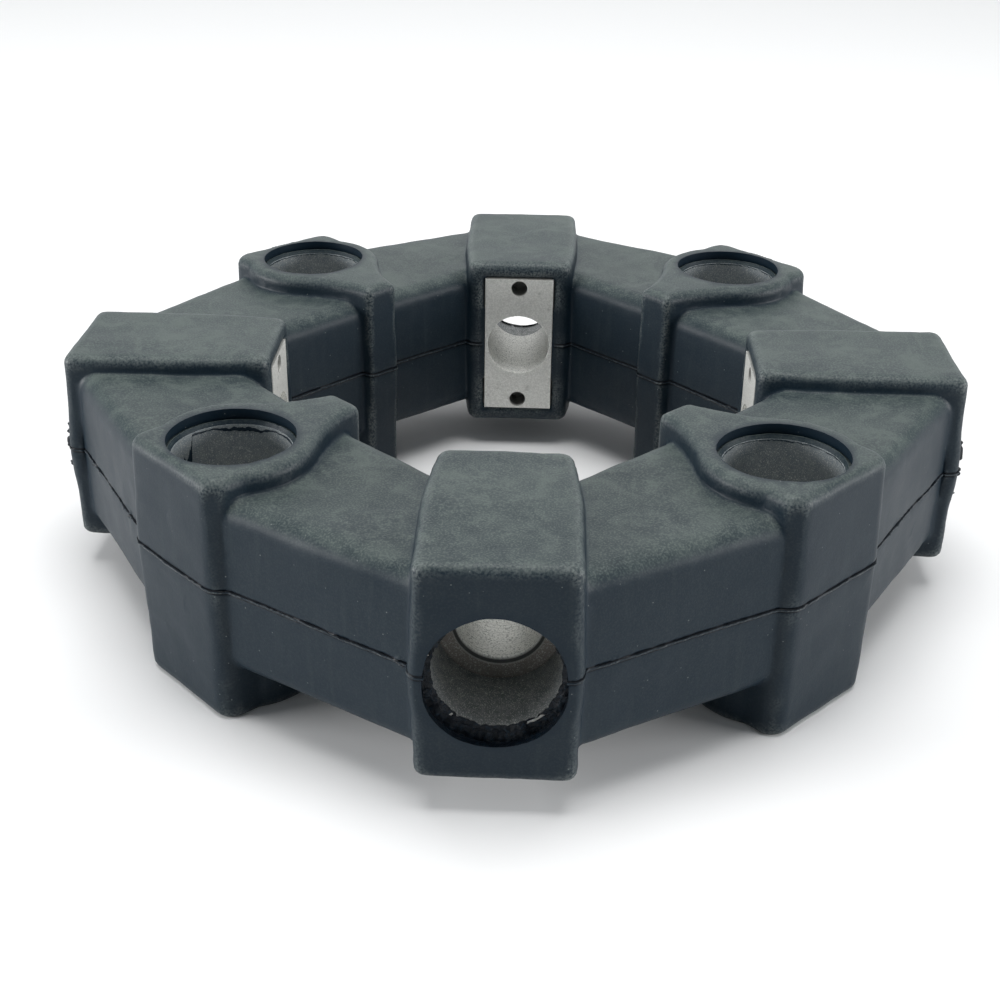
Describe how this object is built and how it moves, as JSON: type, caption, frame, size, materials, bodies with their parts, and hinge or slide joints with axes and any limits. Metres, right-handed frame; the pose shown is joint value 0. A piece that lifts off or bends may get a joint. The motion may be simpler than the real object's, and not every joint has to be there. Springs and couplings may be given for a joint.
{
  "type": "engine coupling",
  "caption": "Eight-sided rubber coupling ring moulded round aluminium inserts, drilled in turn for screws towards the hub and into the flywheel.",
  "frame": {"origin": "centre of the flange bolt circle, on the flange face that the ring lies on", "axes": "+Z is the axis of rotation, pointing to the side that the flange screws go in from; +X and +Y run along the screws of the hub"},
  "size_m": [0.2812, 0.2812, 0.0747],
  "materials": {
    "rubber": "matt moulded natural rubber, faintly dusty",
    "cast_aluminium": "as-cast grain, dull"
  },
  "bodies": {
    "root": {"rubber_ring": "rubber", "hub_insert_1": "cast_aluminium", "hub_insert_2": "cast_aluminium", "hub_insert_3": "cast_aluminium", "hub_insert_4": "cast_aluminium", "flange_insert_1": "cast_aluminium", "flange_insert_2": "cast_aluminium", "flange_insert_3": "cast_aluminium", "flange_insert_4": "cast_aluminium"}
  },
  "joints": []
}
